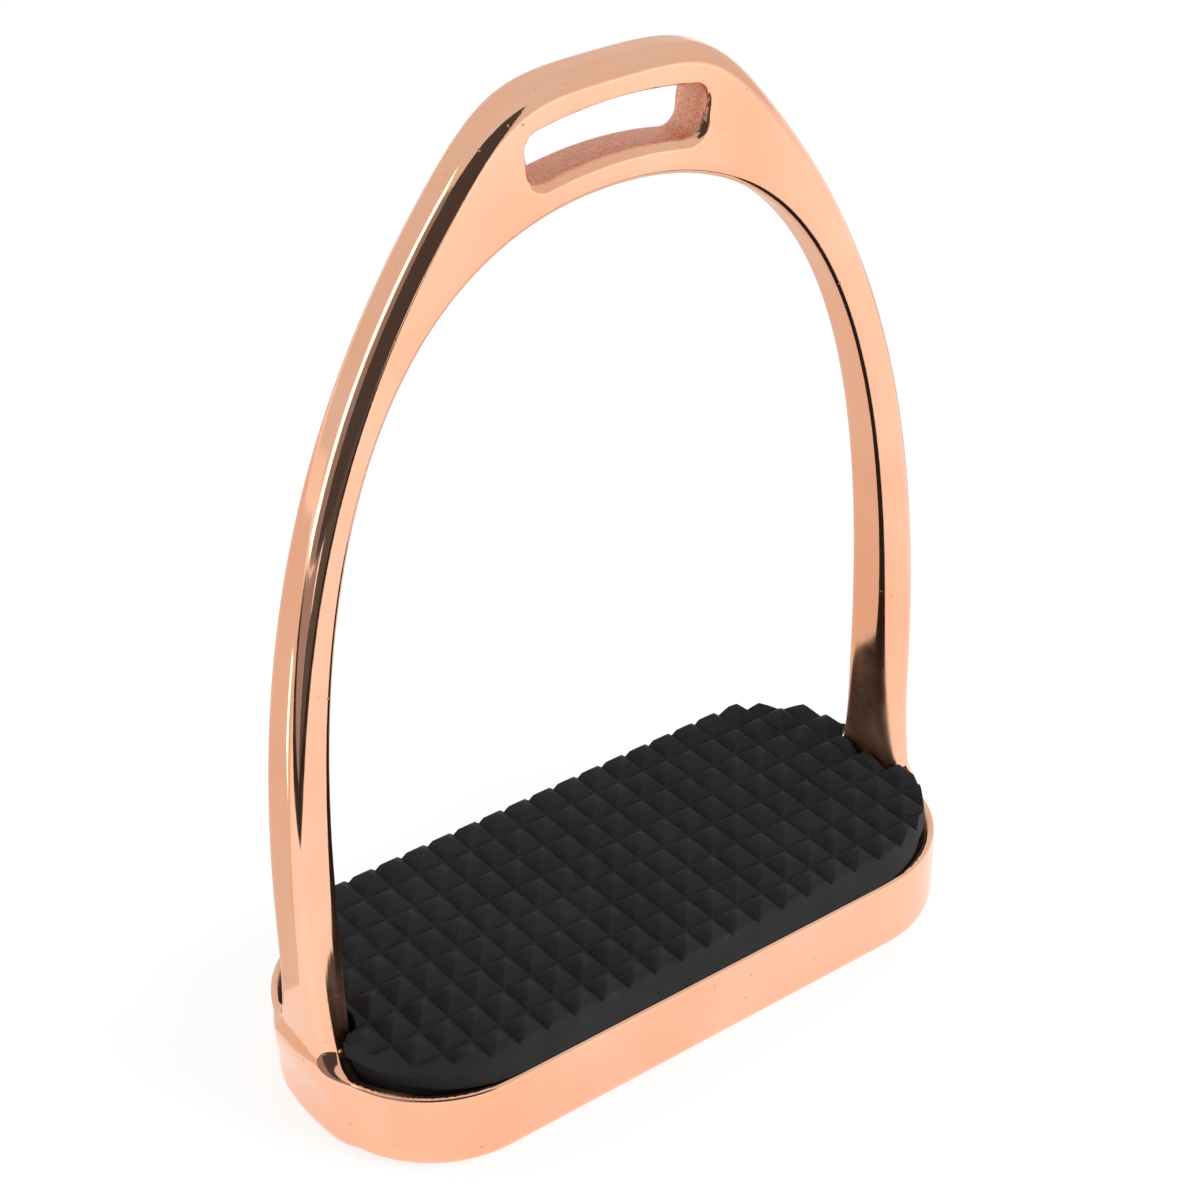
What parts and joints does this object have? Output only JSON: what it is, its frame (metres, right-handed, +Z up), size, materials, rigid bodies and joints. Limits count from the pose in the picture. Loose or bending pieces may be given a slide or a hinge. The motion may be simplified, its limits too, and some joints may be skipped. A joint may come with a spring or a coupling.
{
  "type": "stirrup iron",
  "caption": "Closed metal arch with a flat oval base, a slotted crown for the leather and a black rubber tread with a pyramid grip.",
  "frame": {"origin": "on the ground plane, in the middle of the oval base", "axes": "+Z up towards the leather eye, +X across the width between the branches, +Y from front to back along the rider's foot"},
  "size_m": [0.1294, 0.0544, 0.1703],
  "materials": {
    "rose_gold_plate": "polished copper-pink plating on a cast iron, left rough inside the leather eye",
    "black_rubber": "matt moulded rubber with a pyramid grip"
  },
  "bodies": {
    "iron_body": {"iron": "rose_gold_plate"},
    "tread_body": {"tread": "black_rubber"}
  },
  "joints": [
    {"name": "tread_lift", "type": "slide", "parent": "iron_body", "child": "tread_body", "axis": [0, 0, 1], "range_m": [0, 0.02]}
  ]
}
